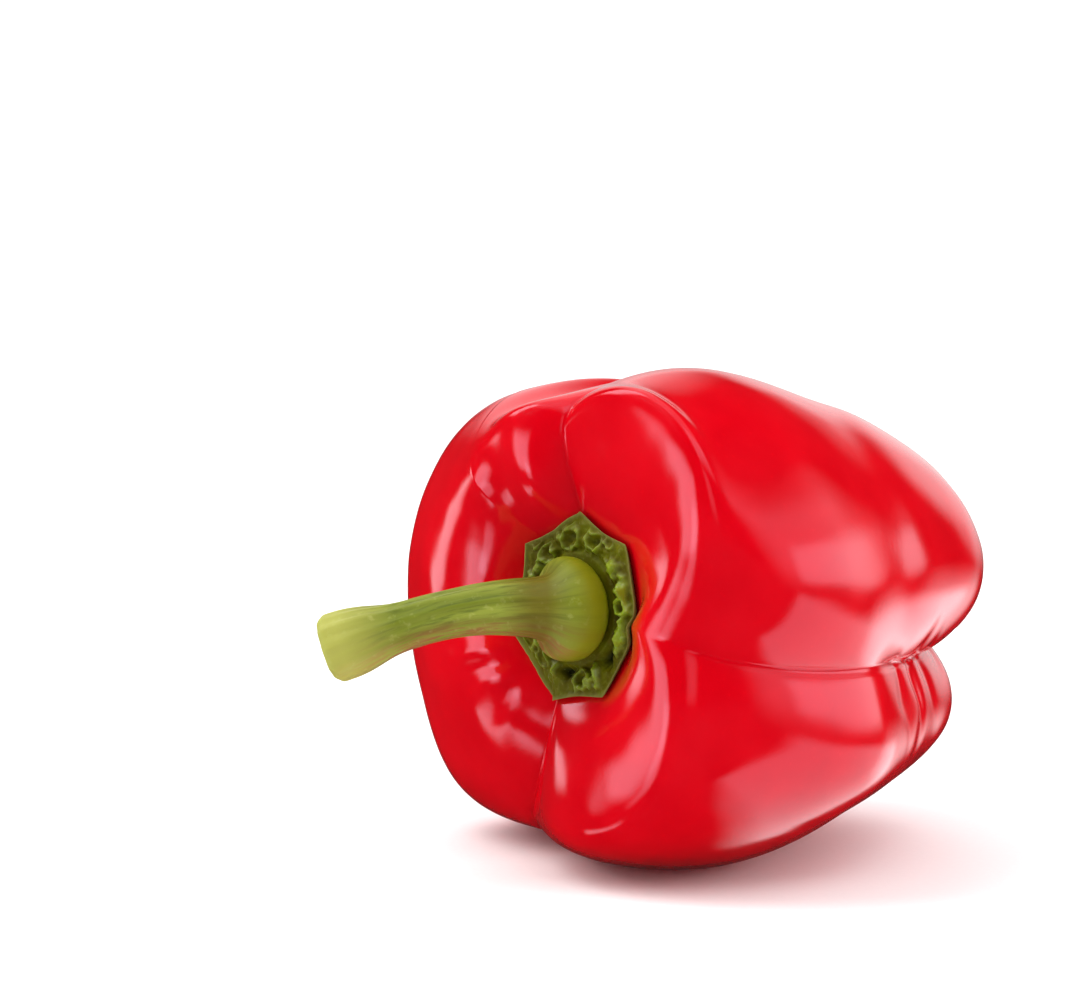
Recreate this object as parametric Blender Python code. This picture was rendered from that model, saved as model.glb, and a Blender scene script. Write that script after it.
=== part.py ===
"""Bell pepper with its calyx and stem, lying on two of its lobes.

Growing frame: stem toward +Z, the seat of the calyx at the origin.  An empty then
lays the pepper down so that the stem points along -Y.  Metres, +Z up.
"""
import math

import bmesh
import bpy
import numpy as np
from mathutils import Vector
from mathutils.bvhtree import BVHTree

for ob in list(bpy.data.objects):
    bpy.data.objects.remove(ob, do_unlink=True)

MM = 0.001

# ---------------------------------------------------------------- fruit sizes
# Millimetres and degrees.  Heights run along the growing axis from the calyx seat.
SEAT_RADIUS = 12.0          # flat part of the hollow the calyx sits in
SEAT_RISE = 0.7             # height of the skin at the rim of that flat part
CUP_RADIUS = 0.62           # where the hollow's wall is, as a part of the crest's radius
CUP_HEIGHT = 0.80           # height there, as a part of the crest's height
GROOVE_CUP_RADIUS = 0.68    # the same two along a groove
GROOVE_CUP_HEIGHT = 0.55
GROOVE_CUP_LEAST = 14.5     # and its radius is never less than this
SHOULDER_TUCK = 0.62        # how far the shoulder swells between crest and girth
SHOULDER_DROP = 4.3         # height lost there, below the crest
FLANK_TUCK = 0.55           # way from girth to foot of the point that keeps the flank full
FLANK_SWELL = 1.3           # and how far it stands out
TIP_RADIUS = 0.60           # radius of the lobe's tip, as a part of the foot's radius
GROOVE_TIP_RADIUS = 0.55    # the same for the groove between two tips
GROOVE_TIP_DROP = 12.0      # height of that groove below its foot
NAVEL_HEIGHT = -74.0        # bottom of the dimple at the blossom end

# Places on the skin: "across" runs 0 to 1 over one lobe, "down" runs 0 at the calyx
# seat to 1 at the navel.
SHOULDER_AT = 0.22          # down: where the shoulder is highest
SHOULDER_SPREAD = 0.13      # down: how far the shoulder's sideways turn reaches
FLANK_AT = 0.55             # down: where the flank has its own, sharper crease
CREASE_MEAN = 1.1           # crease exponents are multiplied by this
CREASE_SWING = 0.2          # plus this at the seat, minus this on the flank
LOW_END_AT = 0.5            # down: where the sideways turn of the blossom end begins
BULGE_ACROSS = (0.80, 0.14)     # centre and width of a lobe's bulge
BULGE_DOWN = (0.66, 0.20)

# Each lobe: crest of the shoulder, the widest place (girth), the foot where the
# flank turns in, and the tip.  "lean" > 1 moves the fullest line to the next groove;
# "lean_top" is the same at the shoulder.
LOBES = {
    "upper_right": {"crest_height": 6.5, "crest_radius": 38.8, "girth": 43.7,
                    "girth_height": -12.6, "foot": 35.0, "foot_height": -55.9,
                    "tip_height": -76.7, "lean": 0.95, "lean_top": 1.40, "bulge": 0.0},
    "upper_left": {"crest_height": 8.5, "crest_radius": 31.4, "girth": 38.6,
                   "girth_height": -15.8, "foot": 35.0, "foot_height": -57.5,
                   "tip_height": -80.5, "lean": 0.88, "lean_top": 0.88, "bulge": 4.0},
    "lower_left": {"crest_height": 6.4, "crest_radius": 29.9, "girth": 52.1,
                   "girth_height": -7.4, "foot": 36.3, "foot_height": -61.2,
                   "tip_height": -80.0, "lean": 0.78, "lean_top": 0.70, "bulge": 14.2},
    "lower_right": {"crest_height": 7.0, "crest_radius": 33.8, "girth": 45.3,
                    "girth_height": -18.8, "foot": 34.8, "foot_height": -59.5,
                    "tip_height": -78.7, "lean": 0.86, "lean_top": 0.70, "bulge": 4.0},
}

# Each groove, counter-clockwise seen from the stem; it starts the lobe of the same
# rank.  "sway" turns it sideways at the shoulder, "sway_low" at the blossom end,
# "crease" is the exponent of the valley: below 1 is a sharp fold, above 1 is soft;
# "crease_top" is the same at the shoulder.
GROOVES = {
    "right": {"angle": -9.7, "crest_height": 5.7, "crest_radius": 18.9, "girth": 38.3,
              "girth_height": -23.3, "foot": 24.4, "foot_height": -57.1,
              "sway": 5.2, "sway_low": -14.7, "crease": 0.83, "crease_top": 1.10},
    "top": {"angle": 91.1, "crest_height": 5.3, "crest_radius": 29.1, "girth": 40.4,
            "girth_height": -19.1, "foot": 28.1, "foot_height": -73.6,
            "sway": 3.8, "sway_low": 6.0, "crease": 0.75, "crease_top": 0.90},
    "soft_left": {"angle": 127.3, "crest_height": 8.6, "crest_radius": 27.8,
                  "girth": 44.8, "girth_height": -10.9, "foot": 30.5,
                  "foot_height": -59.9, "sway": 10.0, "sway_low": -1.8,
                  "crease": 1.20, "crease_top": 1.30},
    "underside": {"angle": 243.1, "crest_height": 0.6, "crest_radius": 22.8,
                  "girth": 46.9, "girth_height": -15.8, "foot": 43.5,
                  "foot_height": -67.0, "sway": 10.5, "sway_low": 9.0,
                  "crease": 0.80, "crease_top": 1.00},
}

# Rings of the skin, as fractions of the way from calyx seat to navel, at which the
# lobe and groove outlines above are pinned.
OUTLINE_KNOTS = (0.0, 0.08, 0.15, 0.23, 0.34, 0.50, 0.70, 0.84, 0.93, 1.0)


def smooth_curve(knots, points, at):
    """Natural cubic spline through points, one row of coordinates per knot."""
    knots = np.asarray(knots, float)
    points = np.asarray(points, float)
    n = len(knots)
    h = np.diff(knots)
    lhs = np.eye(n)
    rhs = np.zeros_like(points)
    for i in range(1, n - 1):
        lhs[i, i - 1:i + 2] = (h[i - 1], 2 * (h[i - 1] + h[i]), h[i])
        rhs[i] = 6 * ((points[i + 1] - points[i]) / h[i]
                      - (points[i] - points[i - 1]) / h[i - 1])
    bend = np.linalg.solve(lhs, rhs)
    j = np.clip(np.searchsorted(knots, at, side="right") - 1, 0, n - 2)
    a = (knots[j + 1] - at)[:, None]
    b = (at - knots[j])[:, None]
    w = h[j][:, None]
    return ((bend[j] * a ** 3 + bend[j + 1] * b ** 3) / (6 * w)
            + (points[j] / w - bend[j] * w / 6) * a
            + (points[j + 1] / w - bend[j + 1] * w / 6) * b)


def lobe_outline(lobe):
    """Radius and height down the middle of a lobe."""
    crest, top = lobe["crest_radius"], lobe["crest_height"]
    girth, mid = lobe["girth"], lobe["girth_height"]
    foot, low = lobe["foot"], lobe["foot_height"]
    return [(0, 0), (SEAT_RADIUS, SEAT_RISE), (CUP_RADIUS * crest, CUP_HEIGHT * top),
            (crest, top),
            (crest + SHOULDER_TUCK * (girth - crest), top - SHOULDER_DROP), (girth, mid),
            (girth + FLANK_TUCK * (foot - girth) + FLANK_SWELL,
             mid + FLANK_TUCK * (low - mid)), (foot, low),
            (TIP_RADIUS * foot, lobe["tip_height"]), (0, NAVEL_HEIGHT)]


def groove_outline(groove):
    """Radius and height down the bottom of a groove."""
    crest, top = groove["crest_radius"], groove["crest_height"]
    girth, mid = groove["girth"], groove["girth_height"]
    foot, low = groove["foot"], groove["foot_height"]
    cup = max(GROOVE_CUP_RADIUS * crest, GROOVE_CUP_LEAST)
    return [(0, 0), (SEAT_RADIUS, SEAT_RISE), (cup, GROOVE_CUP_HEIGHT * top), (crest, top),
            (crest + SHOULDER_TUCK * (girth - crest), top - SHOULDER_DROP), (girth, mid),
            (girth + FLANK_TUCK * (foot - girth) + FLANK_SWELL,
             mid + FLANK_TUCK * (low - mid)), (foot, low),
            (GROOVE_TIP_RADIUS * foot, low - GROOVE_TIP_DROP), (0, NAVEL_HEIGHT)]


def skin_points(lobe_rank, across, down):
    """Points of the skin in millimetres: across runs 0..1 over one lobe, down 0..1."""
    lobe = list(LOBES.values())[lobe_rank]
    grooves = list(GROOVES.values())
    before = grooves[lobe_rank]
    after = grooves[(lobe_rank + 1) % len(grooves)]
    s = across[:, None]
    t = down[None, :]
    middle = smooth_curve(OUTLINE_KNOTS, lobe_outline(lobe), down)
    left = smooth_curve(OUTLINE_KNOTS, groove_outline(before), down)
    right = smooth_curve(OUTLINE_KNOTS, groove_outline(after), down)
    shoulder = np.exp(-((t - SHOULDER_AT) / SHOULDER_SPREAD) ** 2)
    flank = CREASE_MEAN + CREASE_SWING * np.cos(np.pi * np.clip(t / FLANK_AT, 0, 1))
    crease = (before["crease"] * (1 - s) + after["crease"] * s) * flank
    crease_top = before["crease_top"] * (1 - s) + after["crease_top"] * s
    crease = crease + (crease_top - crease) * shoulder
    lean = lobe["lean"] + (lobe["lean_top"] - lobe["lean"]) * shoulder
    fill = np.sin(np.pi * np.clip(s ** lean, 0, 1)) ** crease
    ease = s * s * (3 - 2 * s)
    radius = left[:, 0] * (1 - ease) + right[:, 0] * ease
    height = left[:, 1] * (1 - ease) + right[:, 1] * ease
    radius = radius * (1 - fill) + middle[:, 0] * fill
    height = height * (1 - fill) + middle[:, 1] * fill
    bulge_across = np.exp(-((s - BULGE_ACROSS[0]) / BULGE_ACROSS[1]) ** 2)
    bulge_down = np.exp(-((t - BULGE_DOWN[0]) / BULGE_DOWN[1]) ** 2)
    radius = radius + lobe["bulge"] * bulge_across * bulge_down
    start = before["angle"]
    end = after["angle"] + (360 if after["angle"] < start else 0)
    low_end = np.clip((t - LOW_END_AT) / (1 - LOW_END_AT), 0, 1) ** 2
    turn_start = before["sway"] * shoulder + before["sway_low"] * low_end
    turn_end = after["sway"] * shoulder + after["sway_low"] * low_end
    angle = np.radians(start + (end - start) * s + turn_start * (1 - s) + turn_end * s)
    return np.stack([radius * np.cos(angle), radius * np.sin(angle), height], axis=-1)


# ---------------------------------------------------------------- calyx sizes
CALYX_TEETH = 7             # pointed corners of the calyx
CALYX_TIP_RADIUS = 16.8     # centre to the point of a tooth
CALYX_WAIST_RADIUS = 14.8   # centre to the middle of the edge between two teeth
CALYX_FIRST_TOOTH = 40.0    # degrees
CALYX_PAD_RADIUS = 10.0     # flat middle that carries the stem
CALYX_PAD_TOP = 2.6         # height of that flat middle
CALYX_EDGE = 0.5            # thickness at the very edge
CALYX_BLISTERS = 13         # swellings round the stem
GAP = 0.35                  # clearance kept between pieces that touch

# ---------------------------------------------------------------- stem sizes
# The stem leaves along the growing axis and bends to -X; (x, y, height) in mm.
STEM_PATH = ((0.0, 0.0, 2.95), (-0.2, 0.0, 5.5), (-1.2, 0.1, 8.5), (-4.0, 0.0, 12.2),
             (-10.0, -1.2, 18.6), (-15.0, -3.2, 23.8), (-19.0, -5.3, 28.0),
             (-25.5, -9.0, 34.6))
# Distance along the stem and radius there: swollen ring at the root, shaft, flared
# and cut end.
STEM_OUTLINE = ((0.0, 0.0), (0.0, 7.9), (0.6, 8.8), (1.8, 9.2), (3.2, 8.7), (4.6, 7.4),
                (6.0, 6.2), (7.8, 5.5), (10.0, 5.1), (14.0, 4.7), (20.0, 4.3),
                (27.0, 4.25), (32.0, 4.6), (35.6, 5.4), (38.9, 6.0), (41.5, 6.2),
                (42.7, 5.8), (43.2, 5.2), (42.6, 0.0))
STEM_OVAL = 0.06            # how much the shaft is out of round

# ---------------------------------------------------------------- lying attitude
TILT = 4.0                  # degrees the stem points up while the pepper lies
ROLL = -0.5                 # degrees the pepper is turned about its own axis
PRESSED = 1.1               # how far the skin gives where it rests on the surface

# ---------------------------------------------------------------- mesh fineness
LOBE_COLUMNS = (22, 14, 26, 24)
SKIN_RINGS = 46
CALYX_COLUMNS = 70
CALYX_RINGS = 18
STEM_COLUMNS = 28


def new_collection(name):
    coll = bpy.data.collections.new(name)
    bpy.context.scene.collection.children.link(coll)
    return coll


def plant_material(name, colour, roughness):
    mat = bpy.data.materials.new(name)
    mat.use_nodes = True
    shader = mat.node_tree.nodes["Principled BSDF"]
    shader.inputs["Base Color"].default_value = (*colour, 1.0)
    shader.inputs["Roughness"].default_value = roughness
    shader.inputs["Metallic"].default_value = 0.0
    return mat


def ball(columns, rings):
    """A ball of the wanted fineness; its rings and columns are moved into shape."""
    bm = bmesh.new()
    bmesh.ops.create_uvsphere(bm, u_segments=columns, v_segments=rings, radius=1.0)
    return bm


def place_on_ball(bm, columns, rings, where):
    """Move each vertex of the ball to where(column, ring), given in millimetres."""
    for v in bm.verts:
        ring = round(math.acos(max(-1.0, min(1.0, v.co.z))) / math.pi * rings)
        column = 0
        if 0 < ring < rings:
            column = round(math.atan2(v.co.y, v.co.x) / math.tau * columns) % columns
        v.co = Vector(where(column, ring)) * MM
    bmesh.ops.recalc_face_normals(bm, faces=bm.faces)
    for f in bm.faces:
        f.smooth = True


def finish(bm, name, material, collection, parent):
    mesh = bpy.data.meshes.new(name)
    bm.to_mesh(mesh)
    mesh.materials.append(material)
    obj = bpy.data.objects.new(name, mesh)
    collection.objects.link(obj)
    obj.parent = parent
    return obj


pepper = new_collection("bell_pepper")
lying = bpy.data.objects.new("lying_pepper", None)
pepper.objects.link(lying)

# ---------------------------------------------------------------- fruit
# One closed skin: four lobes between four grooves, hollow at the stem end for the
# calyx and dimpled at the blossom end.
down = np.linspace(0.0, 1.0, SKIN_RINGS + 1)
skin = np.concatenate([skin_points(rank, np.arange(count) / count, down)
                       for rank, count in enumerate(LOBE_COLUMNS)])
fruit_columns = sum(LOBE_COLUMNS)
fruit_bm = ball(fruit_columns, SKIN_RINGS)
place_on_ball(fruit_bm, fruit_columns, SKIN_RINGS, lambda c, r: skin[c, r])
skin_tree = BVHTree.FromBMesh(fruit_bm)
fruit = finish(fruit_bm, "fruit", plant_material("red skin", (0.62, 0.004, 0.008), 0.22),
               pepper, lying)
fruit_bm.free()


# ---------------------------------------------------------------- calyx
# A seven-cornered green cap bedded in the hollow: flat where the stem sits, a ring
# of swellings round it, thin at the edge.
def skin_height(x, y):
    """Height of the skin in the hollow, millimetres."""
    hit = skin_tree.ray_cast(Vector((x * MM, y * MM, 30 * MM)), Vector((0, 0, -1)))
    return hit[0].z / MM


def calyx_edge(angle):
    """Radius of the calyx edge: straight-sided between the teeth, pointed at them."""
    turn = (math.degrees(angle) - CALYX_FIRST_TOOTH) * CALYX_TEETH / 360.0
    away = abs(turn - round(turn)) * 2.0
    return CALYX_WAIST_RADIUS + (CALYX_TIP_RADIUS - CALYX_WAIST_RADIUS) * (1 - away) ** 1.6


def calyx_thickness(radius, edge, angle):
    """Thickness above the bed, outside the flat middle."""
    swell = 0.5 + 0.5 * math.cos(CALYX_BLISTERS * angle)
    stations = (CALYX_PAD_RADIUS, 0.55 * CALYX_PAD_RADIUS + 0.45 * edge, edge - 1.6, edge)
    return float(np.interp(radius, stations, (1.7, 2.1 + 0.7 * swell, 1.0, CALYX_EDGE)))


def calyx_point(column, ring):
    angle = column * math.tau / CALYX_COLUMNS
    half = CALYX_RINGS // 2
    edge = calyx_edge(angle)
    out = min(ring, CALYX_RINGS - ring) / half
    radius = edge * out
    x = radius * math.cos(angle)
    y = radius * math.sin(angle)
    bed = skin_height(x, y) + GAP
    if ring > half:
        return (x, y, bed)
    if radius < CALYX_PAD_RADIUS:
        return (x, y, CALYX_PAD_TOP)
    return (x, y, bed + calyx_thickness(radius, edge, angle))


calyx_bm = ball(CALYX_COLUMNS, CALYX_RINGS)
place_on_ball(calyx_bm, CALYX_COLUMNS, CALYX_RINGS, calyx_point)
calyx = finish(calyx_bm, "calyx", plant_material("calyx green", (0.06, 0.13, 0.01), 0.4),
               pepper, lying)
calyx_bm.free()

# ---------------------------------------------------------------- stem
# A bent shaft with a swollen ring where it grows out of the calyx and a flared cut end.
path = np.array(STEM_PATH)
steps = np.linalg.norm(np.diff(path, axis=0), axis=1)
along = np.concatenate([[0.0], np.cumsum(steps)])


def stem_frame(distance):
    """Centre of the stem and two directions across it, distance mm from the root."""
    at = np.array([distance, distance + 0.01])
    here, there = smooth_curve(along, path, at)
    forward = Vector(there - here).normalized()
    side = Vector((0.0, 1.0, 0.0)).cross(forward).normalized()
    return Vector(here), side, forward.cross(side)


def stem_point(column, ring):
    distance, radius = STEM_OUTLINE[ring]
    centre, side, other = stem_frame(distance)
    angle = column * math.tau / STEM_COLUMNS
    radius = radius * (1 + STEM_OVAL * math.cos(2 * angle))
    return centre + side * (radius * math.cos(angle)) + other * (radius * math.sin(angle))


stem_rings = len(STEM_OUTLINE) - 1
stem_bm = ball(STEM_COLUMNS, stem_rings)
place_on_ball(stem_bm, STEM_COLUMNS, stem_rings, stem_point)
stem = finish(stem_bm, "stem", plant_material("stem green", (0.16, 0.24, 0.03), 0.5),
              pepper, lying)
stem_bm.free()

# ---------------------------------------------------------------- lay it down
# Growing axis to -Y, then up by TILT.  The skin is pressed flat where it touches the
# surface, and the origin is the middle of the underside of the whole pepper's box.
lying.rotation_euler = (math.radians(90.0 - TILT), 0.0, 0.0)
pieces = (fruit, calyx, stem)
for piece in pieces:
    piece.rotation_euler = (0.0, 0.0, math.radians(ROLL))
bpy.context.view_layer.update()
to_world = fruit.matrix_world.copy()
to_fruit = to_world.inverted()
resting = [to_world @ v.co for v in fruit.data.vertices]
surface = min(place.z for place in resting) + PRESSED * MM
for v, place in zip(fruit.data.vertices, resting):
    v.co = to_fruit @ Vector((place.x, place.y, max(place.z, surface)))
corners = np.array([piece.matrix_world @ v.co for piece in pieces
                    for v in piece.data.vertices])
low = corners.min(axis=0)
high = corners.max(axis=0)
lying.location = (-(low[0] + high[0]) / 2, -(low[1] + high[1]) / 2, -low[2])
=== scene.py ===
import math

import bpy
import numpy as np
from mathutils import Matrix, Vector, noise
from mathutils.bvhtree import BVHTree


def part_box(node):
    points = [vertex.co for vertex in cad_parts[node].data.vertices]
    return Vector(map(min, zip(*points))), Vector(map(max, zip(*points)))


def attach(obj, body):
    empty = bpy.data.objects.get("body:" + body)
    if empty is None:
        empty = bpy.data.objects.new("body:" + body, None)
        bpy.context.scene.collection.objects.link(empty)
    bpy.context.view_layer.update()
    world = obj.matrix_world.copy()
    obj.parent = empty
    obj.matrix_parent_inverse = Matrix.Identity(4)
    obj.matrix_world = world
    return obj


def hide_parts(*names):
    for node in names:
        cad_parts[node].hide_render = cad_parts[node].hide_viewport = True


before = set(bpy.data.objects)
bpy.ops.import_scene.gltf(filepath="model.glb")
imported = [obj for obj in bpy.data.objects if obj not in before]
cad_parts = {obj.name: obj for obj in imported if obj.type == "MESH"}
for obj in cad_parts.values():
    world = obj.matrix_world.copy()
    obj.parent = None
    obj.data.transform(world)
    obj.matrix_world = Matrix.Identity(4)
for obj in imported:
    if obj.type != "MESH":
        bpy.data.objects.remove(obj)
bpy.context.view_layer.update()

# ---------------------------------------------------------------- fruit
# The whole fruit is one skin, grown in one piece: four lobes swollen between grooves,
# sunk round the calyx and dimpled at the blossom end.  It is ripe sweet-pepper skin,
# thin, taut and waxy, with a few wrinkles where it folded while it grew.
# Sizes are millimetres and degrees, in a growing frame: stem toward +Z, calyx seat at
# the origin, heights along the growing axis.
MM = 0.001                  # metres in a millimetre
SEAT_RADIUS = 12.0          # flat part of the hollow the calyx sits in
SEAT_RISE = 0.7             # height of the skin at the rim of that flat part
CUP_RADIUS = 0.62           # where the hollow's wall is, as a part of the crest's radius
CUP_HEIGHT = 0.80           # height there, as a part of the crest's height
GROOVE_CUP_RADIUS = 0.68    # the same two along a groove
GROOVE_CUP_HEIGHT = 0.55
GROOVE_CUP_LEAST = 14.5     # and its radius is never less than this
SHOULDER_TUCK = 0.62        # how far the shoulder swells between crest and girth
SHOULDER_DROP = 4.3         # height lost there, below the crest
FLANK_TUCK = 0.55           # way from girth to foot of the point that keeps the flank full
FLANK_SWELL = 1.3           # and how far it stands out
TIP_RADIUS = 0.60           # radius of the lobe's tip, as a part of the foot's radius
GROOVE_TIP_RADIUS = 0.55    # the same for the groove between two tips
GROOVE_TIP_DROP = 12.0      # height of that groove below its foot
NAVEL_HEIGHT = -74.0        # bottom of the dimple at the blossom end

# Places on the skin: "across" runs 0 to 1 over one lobe, "down" runs 0 at the calyx
# seat to 1 at the navel.
SHOULDER_AT = 0.22          # down: where the shoulder is highest
SHOULDER_SPREAD = 0.13      # down: how far the shoulder's sideways turn reaches
FLANK_AT = 0.55             # down: where the flank has its own, sharper crease
CREASE_MEAN = 1.1           # crease exponents are multiplied by this
CREASE_SWING = 0.2          # plus this at the seat, minus this on the flank
LOW_END_AT = 0.5            # down: where the sideways turn of the blossom end begins
BULGE_ACROSS = (0.80, 0.14)     # centre and width of a lobe's bulge
BULGE_DOWN = (0.66, 0.20)

# Each lobe: crest of the shoulder, the widest place (girth), the foot where the
# flank turns in, and the tip.  "lean" > 1 moves the fullest line to the next groove;
# "lean_top" is the same at the shoulder.
LOBES = {
    "upper_right": {"crest_height": 6.5, "crest_radius": 38.8, "girth": 43.7,
                    "girth_height": -12.6, "foot": 35.0, "foot_height": -55.9,
                    "tip_height": -76.7, "lean": 0.95, "lean_top": 1.40, "bulge": 0.0},
    "upper_left": {"crest_height": 8.5, "crest_radius": 31.4, "girth": 38.6,
                   "girth_height": -15.8, "foot": 35.0, "foot_height": -57.5,
                   "tip_height": -80.5, "lean": 0.88, "lean_top": 0.88, "bulge": 4.0},
    "lower_left": {"crest_height": 6.4, "crest_radius": 29.9, "girth": 52.1,
                   "girth_height": -7.4, "foot": 36.3, "foot_height": -61.2,
                   "tip_height": -80.0, "lean": 0.78, "lean_top": 0.70, "bulge": 14.2},
    "lower_right": {"crest_height": 7.0, "crest_radius": 33.8, "girth": 45.3,
                    "girth_height": -18.8, "foot": 34.8, "foot_height": -59.5,
                    "tip_height": -78.7, "lean": 0.86, "lean_top": 0.70, "bulge": 4.0},
}

# Each groove, counter-clockwise seen from the stem; it starts the lobe of the same
# rank.  "sway" turns it sideways at the shoulder, "sway_low" at the blossom end,
# "crease" is the exponent of the valley: below 1 is a sharp fold, above 1 is soft;
# "crease_top" is the same at the shoulder.
GROOVES = {
    "right": {"angle": -9.7, "crest_height": 5.7, "crest_radius": 18.9, "girth": 38.3,
              "girth_height": -23.3, "foot": 24.4, "foot_height": -57.1,
              "sway": 5.2, "sway_low": -14.7, "crease": 0.83, "crease_top": 1.10},
    "top": {"angle": 91.1, "crest_height": 5.3, "crest_radius": 29.1, "girth": 40.4,
            "girth_height": -19.1, "foot": 28.1, "foot_height": -73.6,
            "sway": 3.8, "sway_low": 6.0, "crease": 0.75, "crease_top": 0.90},
    "soft_left": {"angle": 127.3, "crest_height": 8.6, "crest_radius": 27.8,
                  "girth": 44.8, "girth_height": -10.9, "foot": 30.5,
                  "foot_height": -59.9, "sway": 10.0, "sway_low": -1.8,
                  "crease": 1.20, "crease_top": 1.30},
    "underside": {"angle": 243.1, "crest_height": 0.6, "crest_radius": 22.8,
                  "girth": 46.9, "girth_height": -15.8, "foot": 43.5,
                  "foot_height": -67.0, "sway": 10.5, "sway_low": 9.0,
                  "crease": 0.80, "crease_top": 1.00},
}

# Rings of the skin, as fractions of the way from calyx seat to navel, at which the
# lobe and groove outlines above are pinned.
OUTLINE_KNOTS = (0.0, 0.08, 0.15, 0.23, 0.34, 0.50, 0.70, 0.84, 0.93, 1.0)


def smooth_curve(knots, points, at):
    """Natural cubic spline through points, one row of coordinates per knot."""
    knots = np.asarray(knots, float)
    points = np.asarray(points, float)
    n = len(knots)
    h = np.diff(knots)
    lhs = np.eye(n)
    rhs = np.zeros_like(points)
    for i in range(1, n - 1):
        lhs[i, i - 1:i + 2] = (h[i - 1], 2 * (h[i - 1] + h[i]), h[i])
        rhs[i] = 6 * ((points[i + 1] - points[i]) / h[i]
                      - (points[i] - points[i - 1]) / h[i - 1])
    bend = np.linalg.solve(lhs, rhs)
    j = np.clip(np.searchsorted(knots, at, side="right") - 1, 0, n - 2)
    a = (knots[j + 1] - at)[:, None]
    b = (at - knots[j])[:, None]
    w = h[j][:, None]
    return ((bend[j] * a ** 3 + bend[j + 1] * b ** 3) / (6 * w)
            + (points[j] / w - bend[j] * w / 6) * a
            + (points[j + 1] / w - bend[j + 1] * w / 6) * b)


def lobe_outline(lobe):
    """Radius and height down the middle of a lobe."""
    crest, top = lobe["crest_radius"], lobe["crest_height"]
    girth, mid = lobe["girth"], lobe["girth_height"]
    foot, low = lobe["foot"], lobe["foot_height"]
    return [(0, 0), (SEAT_RADIUS, SEAT_RISE), (CUP_RADIUS * crest, CUP_HEIGHT * top),
            (crest, top),
            (crest + SHOULDER_TUCK * (girth - crest), top - SHOULDER_DROP), (girth, mid),
            (girth + FLANK_TUCK * (foot - girth) + FLANK_SWELL,
             mid + FLANK_TUCK * (low - mid)), (foot, low),
            (TIP_RADIUS * foot, lobe["tip_height"]), (0, NAVEL_HEIGHT)]


def groove_outline(groove):
    """Radius and height down the bottom of a groove."""
    crest, top = groove["crest_radius"], groove["crest_height"]
    girth, mid = groove["girth"], groove["girth_height"]
    foot, low = groove["foot"], groove["foot_height"]
    cup = max(GROOVE_CUP_RADIUS * crest, GROOVE_CUP_LEAST)
    return [(0, 0), (SEAT_RADIUS, SEAT_RISE), (cup, GROOVE_CUP_HEIGHT * top), (crest, top),
            (crest + SHOULDER_TUCK * (girth - crest), top - SHOULDER_DROP), (girth, mid),
            (girth + FLANK_TUCK * (foot - girth) + FLANK_SWELL,
             mid + FLANK_TUCK * (low - mid)), (foot, low),
            (GROOVE_TIP_RADIUS * foot, low - GROOVE_TIP_DROP), (0, NAVEL_HEIGHT)]


def skin_points(lobe_rank, across, down):
    """Points of the skin in millimetres: across runs 0..1 over one lobe, down 0..1."""
    lobe = list(LOBES.values())[lobe_rank]
    grooves = list(GROOVES.values())
    before = grooves[lobe_rank]
    after = grooves[(lobe_rank + 1) % len(grooves)]
    s = across[:, None]
    t = down[None, :]
    middle = smooth_curve(OUTLINE_KNOTS, lobe_outline(lobe), down)
    left = smooth_curve(OUTLINE_KNOTS, groove_outline(before), down)
    right = smooth_curve(OUTLINE_KNOTS, groove_outline(after), down)
    shoulder = np.exp(-((t - SHOULDER_AT) / SHOULDER_SPREAD) ** 2)
    flank = CREASE_MEAN + CREASE_SWING * np.cos(np.pi * np.clip(t / FLANK_AT, 0, 1))
    crease = (before["crease"] * (1 - s) + after["crease"] * s) * flank
    crease_top = before["crease_top"] * (1 - s) + after["crease_top"] * s
    crease = crease + (crease_top - crease) * shoulder
    lean = lobe["lean"] + (lobe["lean_top"] - lobe["lean"]) * shoulder
    fill = np.sin(np.pi * np.clip(s ** lean, 0, 1)) ** crease
    ease = s * s * (3 - 2 * s)
    radius = left[:, 0] * (1 - ease) + right[:, 0] * ease
    height = left[:, 1] * (1 - ease) + right[:, 1] * ease
    radius = radius * (1 - fill) + middle[:, 0] * fill
    height = height * (1 - fill) + middle[:, 1] * fill
    bulge_across = np.exp(-((s - BULGE_ACROSS[0]) / BULGE_ACROSS[1]) ** 2)
    bulge_down = np.exp(-((t - BULGE_DOWN[0]) / BULGE_DOWN[1]) ** 2)
    radius = radius + lobe["bulge"] * bulge_across * bulge_down
    start = before["angle"]
    end = after["angle"] + (360 if after["angle"] < start else 0)
    low_end = np.clip((t - LOW_END_AT) / (1 - LOW_END_AT), 0, 1) ** 2
    turn_start = before["sway"] * shoulder + before["sway_low"] * low_end
    turn_end = after["sway"] * shoulder + after["sway_low"] * low_end
    angle = np.radians(start + (end - start) * s + turn_start * (1 - s) + turn_end * s)
    return np.stack([radius * np.cos(angle), radius * np.sin(angle), height], axis=-1)


SKIN_COLUMNS = (100, 64, 118, 110)  # over the four lobes
SKIN_RINGS = 330            # from the calyx seat to the navel
TILT = 4.0                  # degrees the stem points up while the pepper lies
ROLL = -0.5                 # degrees the pepper is turned about its own axis
PRESSED = 1.1               # how far the skin gives where it rests on the floor


def lay_down(points):
    """Growing frame to the lying pepper's, both in millimetres, seat at the origin."""
    tilt = math.radians(TILT)
    roll = math.radians(ROLL)
    x = points[..., 0] * math.cos(roll) - points[..., 1] * math.sin(roll)
    y = points[..., 0] * math.sin(roll) + points[..., 1] * math.cos(roll)
    z = points[..., 2]
    return np.stack([x, y * math.sin(tilt) - z * math.cos(tilt),
                     y * math.cos(tilt) + z * math.sin(tilt)], axis=-1)


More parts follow.
